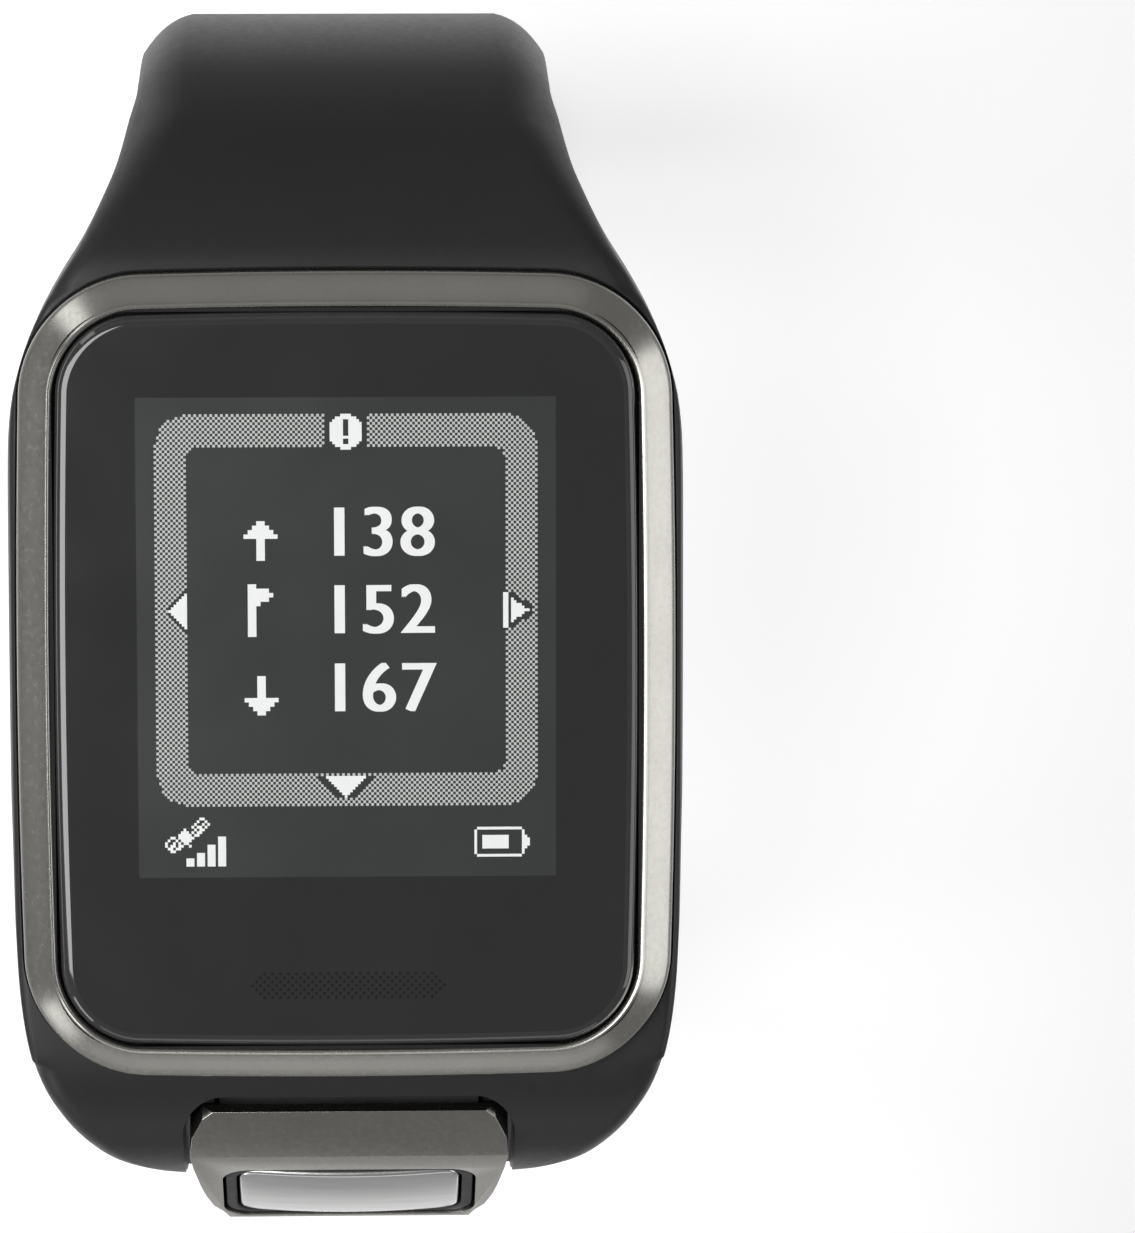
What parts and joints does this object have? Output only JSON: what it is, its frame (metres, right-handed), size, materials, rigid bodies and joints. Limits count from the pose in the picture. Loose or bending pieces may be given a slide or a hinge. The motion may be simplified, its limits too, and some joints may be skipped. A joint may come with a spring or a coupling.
{
  "type": "golf gps watch",
  "caption": "Square golf GPS watch with a four-way button on its chin, metal bezel, and a rubber strap that flexes open and closes with a pin buckle and keeper.",
  "frame": {"origin": "centre of the flat case back", "axes": "+Z out of the screen, +Y to 12 o'clock, +X to 3 o'clock"},
  "size_m": [0.0362, 0.0659, 0.0674],
  "materials": {
    "cover_glass": "gloss",
    "gasket": "matt",
    "bezel": "satin",
    "display": "gloss",
    "light_guide": "gloss",
    "inner_plastic": "matt",
    "circuit_board": "satin",
    "shield": "satin",
    "battery": "satin",
    "rotor": "satin",
    "contact": "satin",
    "grille": "matt",
    "ceramic": "matt",
    "back_cover": "satin",
    "screw": "satin",
    "button_frame": "satin",
    "button_pad": "satin",
    "flex": "satin",
    "strap": "matt",
    "buckle": "satin"
  },
  "bodies": {
    "watch": {"cover_glass": "cover_glass", "glass_gasket": "gasket", "bezel": "bezel", "lcd_panel": "display", "light_guide": "light_guide", "display_frame": "inner_plastic", "main_pcb": "circuit_board", "rf_shield": "shield", "battery": "battery", "vibration_motor": "shield", "buzzer_disc": "contact", "sound_grille": "grille", "gps_antenna": "ceramic", "module_case": "inner_plastic", "back_cover": "back_cover", "back_cover_gasket": "gasket", "back_cover_screws": "screw", "charging_contacts": "contact", "button_frame": "button_frame", "button_seal": "gasket", "dome_switches": "shield", "button_pcb": "circuit_board", "flex_cable": "flex", "strap_frame": "strap"},
    "motor_rotor": {"motor_rotor": "rotor"},
    "button_ring": {"button_ring": "inner_plastic"},
    "button_pad": {"button_pad": "button_pad"},
    "upper_strap_near": {"strap_upper_1": "strap"},
    "upper_strap_end": {"strap_upper_2": "strap", "buckle_bar": "screw"},
    "keeper": {"strap_keeper": "strap"},
    "buckle": {"buckle_frame": "buckle"},
    "tongue": {"buckle_tongue": "buckle"},
    "lower_strap_near": {"strap_lower_1": "strap"},
    "lower_strap_end": {"strap_lower_2": "strap"}
  },
  "joints": [
    {"name": "motor_spin", "type": "hinge", "parent": "watch", "child": "motor_rotor", "pos_m": [-0.002, 0.0156, 0.0043], "axis": [1, 0, 0], "continuous": true},
    {"name": "button_up_down", "type": "hinge", "parent": "watch", "child": "button_ring", "pos_m": [0, -0.02915, 0.00375], "axis": [1, 0, 0], "range_deg": [-3, 3], "stiffness_Nm_per_rad": 0.02},
    {"name": "button_left_right", "type": "hinge", "parent": "button_ring", "child": "button_pad", "pos_m": [0, -0.02915, 0.00375], "axis": [0, 0.5446, 0.8387], "range_deg": [-3, 3], "stiffness_Nm_per_rad": 0.02},
    {"name": "upper_flex_near", "type": "hinge", "parent": "watch", "child": "upper_strap_near", "pos_m": [0, 0.03235, -0.0085], "axis": [1, 0, 0], "range_deg": [0, 35], "stiffness_Nm_per_rad": 0.03},
    {"name": "upper_flex_end", "type": "hinge", "parent": "upper_strap_near", "child": "upper_strap_end", "pos_m": [0, 0.02967, -0.0185], "axis": [1, 0, 0], "range_deg": [0, 35], "stiffness_Nm_per_rad": 0.03},
    {"name": "keeper_slide", "type": "slide", "parent": "upper_strap_end", "child": "keeper", "axis": [0, -0.5, -0.866], "range_m": [-0.0022, 0.002]},
    {"name": "buckle_swing", "type": "hinge", "parent": "upper_strap_end", "child": "buckle", "pos_m": [0, 0.02117, -0.03322], "axis": [-1, 0, 0], "range_deg": [-45, 60]},
    {"name": "tongue_swing", "type": "hinge", "parent": "buckle", "child": "tongue", "pos_m": [0, 0.02117, -0.03322], "axis": [1, 0, 0], "range_deg": [0, 90]},
    {"name": "lower_flex_near", "type": "hinge", "parent": "watch", "child": "lower_strap_near", "pos_m": [0, -0.0286, -0.008], "axis": [-1, 0, 0], "range_deg": [0, 35], "stiffness_Nm_per_rad": 0.03},
    {"name": "lower_flex_end", "type": "hinge", "parent": "lower_strap_near", "child": "lower_strap_end", "pos_m": [0, -0.008, -0.0526], "axis": [-1, 0, 0], "range_deg": [0, 35], "stiffness_Nm_per_rad": 0.03}
  ]
}
